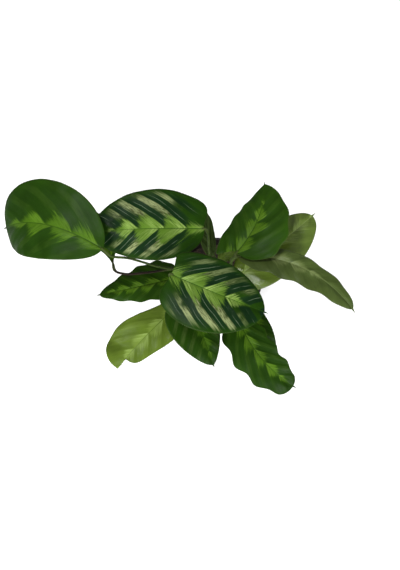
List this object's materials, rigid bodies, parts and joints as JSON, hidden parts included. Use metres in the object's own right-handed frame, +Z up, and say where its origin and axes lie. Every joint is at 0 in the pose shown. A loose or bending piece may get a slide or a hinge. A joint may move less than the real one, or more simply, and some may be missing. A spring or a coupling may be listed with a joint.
{
  "type": "potted calathea",
  "caption": "Calathea houseplant with broad feather-patterned leaves on slender stalks, growing in a plain tapered nursery pot filled with potting soil.",
  "frame": {"origin": "centre of the pot's flat underside", "axes": "+Z up along the pot's axis; +X is to the right and -Y towards the viewer when the long trailing leaf points right"},
  "size_m": [0.4063, 0.2458, 0.2816],
  "materials": {
    "pot_plastic": "dark brown-black moulded nursery plastic, slightly scuffed",
    "potting_soil": "loose peat and bark with a few pale mineral grains",
    "rhizome": "brown, papery old leaf sheaths",
    "leaf_dark_green": "glossy dark green with a feathered light green flame along the midrib",
    "leaf_striped": "glossy blue-green with light green flame and greyish cream stripes between the side veins",
    "leaf_yellow_green": "glossy yellow-green with a pale flame along the midrib",
    "leaf_olive": "glossy olive green with a pale grey-green flame",
    "leaf_stalk": "satin green with pale streaks, brown-tinged at the swollen end",
    "leaf_stalk_purple": "satin dark purple-brown"
  },
  "bodies": {
    "root": {"pot": "pot_plastic", "soil": "potting_soil", "rhizome": "rhizome", "blade_far_left": "leaf_dark_green", "stalk_far_left": "leaf_stalk", "blade_left_upper": "leaf_striped", "stalk_left_upper": "leaf_stalk", "blade_left_lower": "leaf_dark_green", "stalk_left_lower": "leaf_stalk", "blade_centre_top": "leaf_striped", "stalk_centre_top": "leaf_stalk", "blade_front_left": "leaf_yellow_green", "stalk_front_left": "leaf_stalk", "blade_front_middle": "leaf_striped", "stalk_front_middle": "leaf_stalk", "blade_front_right": "leaf_dark_green", "stalk_front_right": "leaf_stalk", "blade_front_right_under": "leaf_dark_green", "stalk_front_right_under": "leaf_stalk", "blade_back_right_upper": "leaf_dark_green", "stalk_back_right_upper": "leaf_stalk", "blade_back_right_lower": "leaf_yellow_green", "stalk_back_right_lower": "leaf_stalk", "blade_right_trailing": "leaf_olive", "stalk_right_trailing": "leaf_stalk", "blade_back_steep": "leaf_striped", "stalk_back_steep": "leaf_stalk", "blade_left_small": "leaf_dark_green", "stalk_left_small": "leaf_stalk_purple", "blade_centre_young": "leaf_yellow_green", "stalk_centre_young": "leaf_stalk"}
  },
  "joints": []
}
